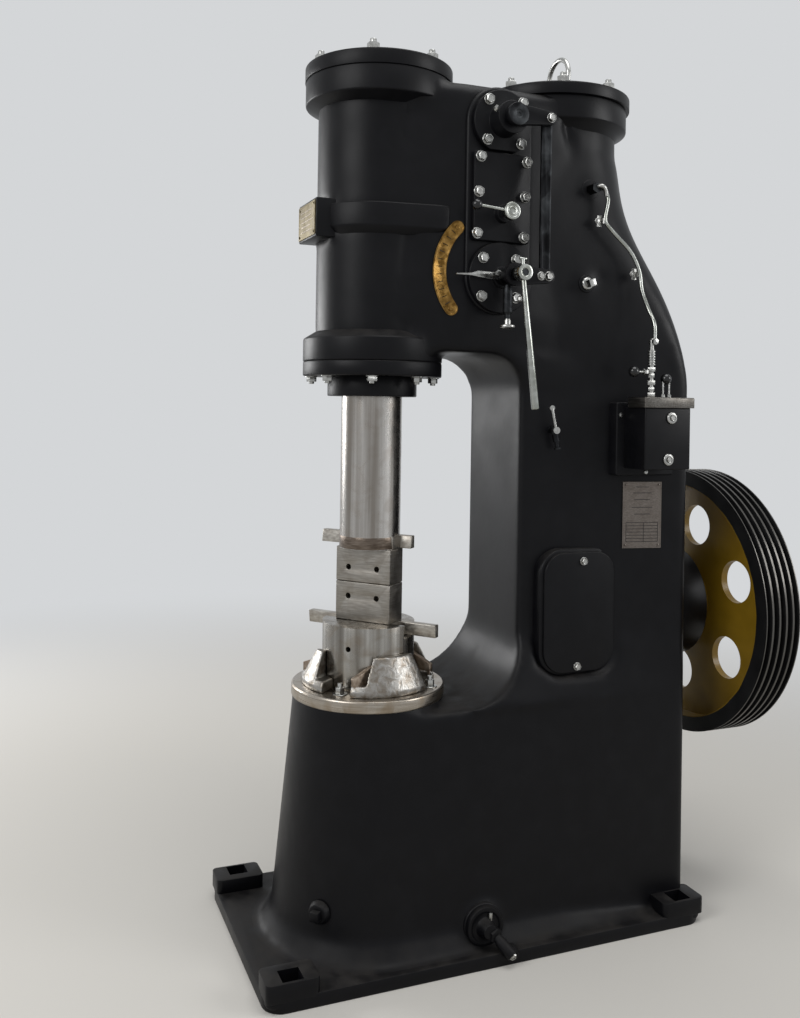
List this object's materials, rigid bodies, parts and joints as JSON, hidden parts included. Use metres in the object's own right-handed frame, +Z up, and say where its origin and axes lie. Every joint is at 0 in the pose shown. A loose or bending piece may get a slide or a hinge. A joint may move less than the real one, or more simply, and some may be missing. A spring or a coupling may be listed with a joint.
{
  "type": "self-contained power hammer",
  "caption": "Pneumatic forging hammer on one cast frame: ram in a front cylinder over an anvil, compressor behind, belt pulley, linked valve levers and lubricator.",
  "frame": {"origin": "on the floor, under the centre line of the ram and anvil", "axes": "+Z up along the ram, -Y to the ram end, +Y to the pulley end, +X to the side with the valve gear"},
  "size_m": [0.676, 1.279, 2.072],
  "materials": {
    "black_paint": "satin black paint on cast iron",
    "yellow_paint": "yellow paint on cast iron",
    "turned_iron": "machined cast iron with light oil stain",
    "ground_steel": "ground and turned steel",
    "forged_steel": "forged steel, rough milled",
    "zinc_steel": "bright zinc plate",
    "blackened_steel": "blackened steel, oiled",
    "brass": "bare etched brass",
    "plate_aluminium": "bare anodised aluminium",
    "black_plastic": "moulded black plastic"
  },
  "bodies": {
    "frame": {"frame_casting": "black_paint", "front_cylinder_cap": "black_paint", "compressor_cap": "black_paint", "lifting_eye": "zinc_steel", "cylinder_bottom_cover": "black_paint", "ram_gland": "black_paint", "anvil_ring": "turned_iron", "sow_block": "turned_iron", "anvil_collar": "forged_steel", "lower_die": "ground_steel", "lower_key": "forged_steel", "bearing_housing": "black_paint", "upper_valve_cover": "black_paint", "middle_valve_cover": "black_paint", "lower_valve_cover": "black_paint", "valve_scale": "brass", "front_plate": "brass", "access_cover": "black_paint", "lubricator_tank": "black_paint", "lubricator_lid": "turned_iron", "oil_feed_stack": "zinc_steel", "oil_filler": "black_plastic", "pipe_elbow": "blackened_steel", "oil_pipe": "zinc_steel", "shoulder_plug": "zinc_steel", "petcock_body": "zinc_steel", "data_plate": "plate_aluminium", "drain_flange": "black_paint", "drain_cock": "black_paint"},
    "ram": {"ram": "ground_steel", "upper_die": "ground_steel", "upper_key": "forged_steel"},
    "pulley": {"belt_pulley": "yellow_paint", "crankshaft_end": "ground_steel"},
    "valve_lever": {"hand_lever": "zinc_steel", "lower_valve_arm": "black_paint", "lower_valve_spindle": "blackened_steel", "valve_pointer": "zinc_steel", "lever_plunger": "blackened_steel"},
    "link": {"valve_link": "blackened_steel"},
    "upper_valve": {"upper_valve_arm": "black_paint", "upper_valve_spindle": "blackened_steel"},
    "small_valve": {"small_valve_handle": "zinc_steel"},
    "petcock": {"petcock_handle": "zinc_steel"}
  },
  "joints": [
    {"name": "ram_slide", "type": "slide", "parent": "frame", "child": "ram", "axis": [0, 0, 1], "range_m": [0, 0.27]},
    {"name": "pulley_turn", "type": "hinge", "parent": "frame", "child": "pulley", "pos_m": [0, 0.9, 0.706], "axis": [0, 1, 0], "continuous": true},
    {"name": "lever_swing", "type": "hinge", "parent": "frame", "child": "valve_lever", "pos_m": [0.24, 0.234, 1.489], "axis": [1, 0, 0], "range_deg": [-25, 25]},
    {"name": "link_pivot", "type": "hinge", "parent": "valve_lever", "child": "link", "pos_m": [0.236, 0.314, 1.489], "axis": [1, 0, 0], "range_deg": [-26, 26]},
    {"name": "upper_valve_turn", "type": "hinge", "parent": "frame", "child": "upper_valve", "pos_m": [0.24, 0.234, 1.836], "axis": [1, 0, 0], "range_deg": [-26, 26]},
    {"name": "small_valve_turn", "type": "hinge", "parent": "frame", "child": "small_valve", "pos_m": [0.22, 0.234, 1.63], "axis": [1, 0, 0], "range_deg": [-30, 30]},
    {"name": "petcock_turn", "type": "hinge", "parent": "frame", "child": "petcock", "pos_m": [0.17381, 0.38323, 1.15], "axis": [0.983, -0.1834, 0], "range_deg": [0, 90]}
  ],
  "couplings": [
    {"joint": "link_pivot", "follows": "lever_swing", "ratio": -1},
    {"joint": "upper_valve_turn", "follows": "lever_swing", "ratio": 1}
  ]
}
